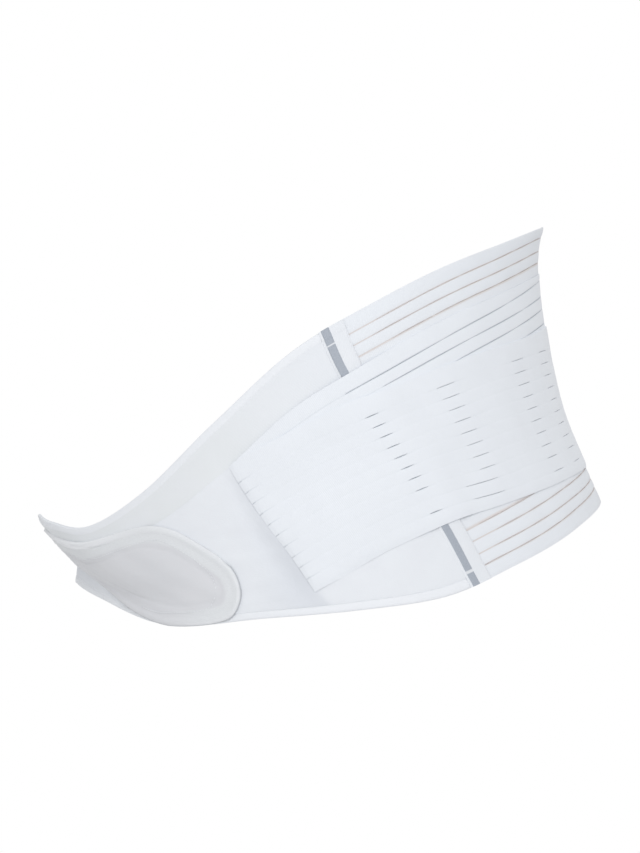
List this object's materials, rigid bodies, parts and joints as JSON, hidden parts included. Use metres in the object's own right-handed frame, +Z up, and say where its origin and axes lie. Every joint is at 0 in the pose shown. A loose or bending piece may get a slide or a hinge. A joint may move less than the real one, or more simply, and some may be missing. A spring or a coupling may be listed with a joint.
{
  "type": "maternity support belt",
  "caption": "Worn maternity support belt: tall slit-elastic back, low front cup under the belly, padded closure tab and wide slit side straps.",
  "frame": {"origin": "on the body's axis inside the loop, half way between the lowest and the highest hem, where the body stands in the belt", "axes": "+Z up the wearer's body, -Y the way the wearer faces, +X to the wearer's left, across the hips"},
  "size_m": [0.3704, 0.3412, 0.2398],
  "materials": {
    "slit_elastic": "white ribbed elastic with woven slits",
    "sheer_knit": "off-white fine warp knit, slightly sheer",
    "loop_knit": "white brushed loop knit, matt",
    "woven_tape": "white narrow woven tape",
    "grey_ribbon": "grey narrow woven ribbon, slight sheen",
    "padded_tricot": "off-white padded tricot with stitched edge"
  },
  "bodies": {
    "root": {"back_panel": "slit_elastic", "front_panel_left": "sheer_knit", "front_panel_right": "sheer_knit", "front_facing_left": "loop_knit", "front_facing_right": "loop_knit", "seam_tape_left": "woven_tape", "seam_tape_right": "woven_tape", "grey_strip_left": "grey_ribbon", "grey_strip_right": "grey_ribbon", "side_strap_left": "slit_elastic", "side_strap_right": "slit_elastic", "closure_tab": "padded_tricot"}
  },
  "joints": []
}
